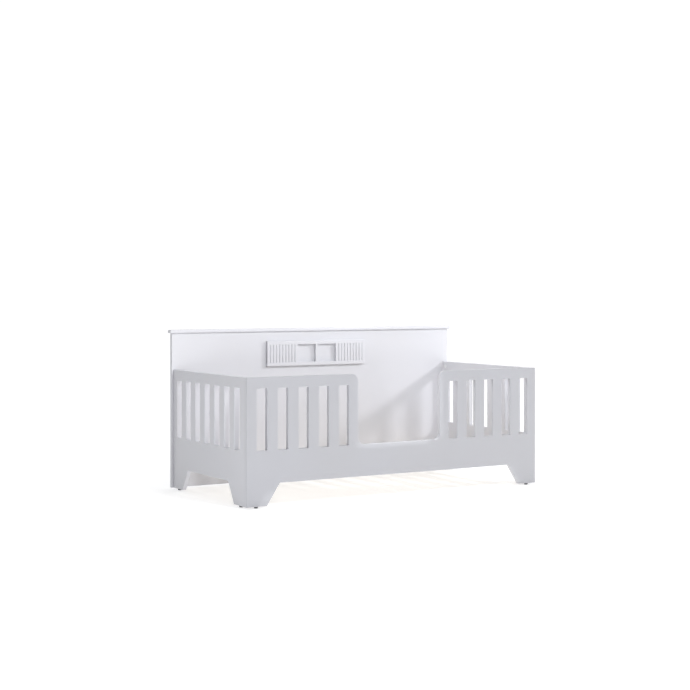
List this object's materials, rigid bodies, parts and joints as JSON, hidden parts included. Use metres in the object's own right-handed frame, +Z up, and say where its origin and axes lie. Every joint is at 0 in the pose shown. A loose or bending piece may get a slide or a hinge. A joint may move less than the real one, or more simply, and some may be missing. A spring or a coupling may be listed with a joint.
{
  "type": "toddler bed",
  "caption": "Low toddler bed of lacquered boards with slotted end panels, front guards either side of an entry, a tall capped back panel with a plaque, and a lift-out slatted base.",
  "frame": {"origin": "on the floor under the middle of the bed's outline, which the back cap sets at the ends and the rear and the front panel sets at the front", "axes": "+X along the bed to the right as seen from the front, +Y to the back panel, +Z up"},
  "size_m": [1.482, 0.748, 0.702],
  "materials": {
    "white_lacquer": "satin white lacquer on fibreboard",
    "bare_wood": "sanded, unfinished",
    "dowel_wood": "ribbed, unfinished",
    "webbing": "woven",
    "zinc_steel": "zinc plated",
    "white_plastic": "matte",
    "grey_plastic": "matte"
  },
  "bodies": {
    "bed_frame": {"front_panel": "white_lacquer", "left_end_panel": "white_lacquer", "right_end_panel": "white_lacquer", "back_panel": "white_lacquer", "back_cap": "white_lacquer", "back_plaque": "white_lacquer", "front_ledge": "bare_wood", "back_ledge": "bare_wood", "cam_bolts": "zinc_steel", "cams": "zinc_steel", "cam_covers": "white_plastic", "corner_dowels": "dowel_wood", "cap_dowels": "dowel_wood", "front_ledge_screws": "zinc_steel", "back_ledge_screws": "zinc_steel", "plaque_screws": "zinc_steel", "glides": "grey_plastic"},
    "slat_base": {"front_strap": "webbing", "back_strap": "webbing", "strap_staples": "zinc_steel", "slat_01": "bare_wood", "slat_02": "bare_wood", "slat_03": "bare_wood", "slat_04": "bare_wood", "slat_05": "bare_wood", "slat_06": "bare_wood", "slat_07": "bare_wood", "slat_08": "bare_wood", "slat_09": "bare_wood", "slat_10": "bare_wood", "slat_11": "bare_wood", "slat_12": "bare_wood", "slat_13": "bare_wood", "slat_14": "bare_wood"}
  },
  "joints": [
    {"name": "base_lift", "type": "slide", "parent": "bed_frame", "child": "slat_base", "axis": [0, 0, 1], "range_m": [0, 0.38]}
  ]
}
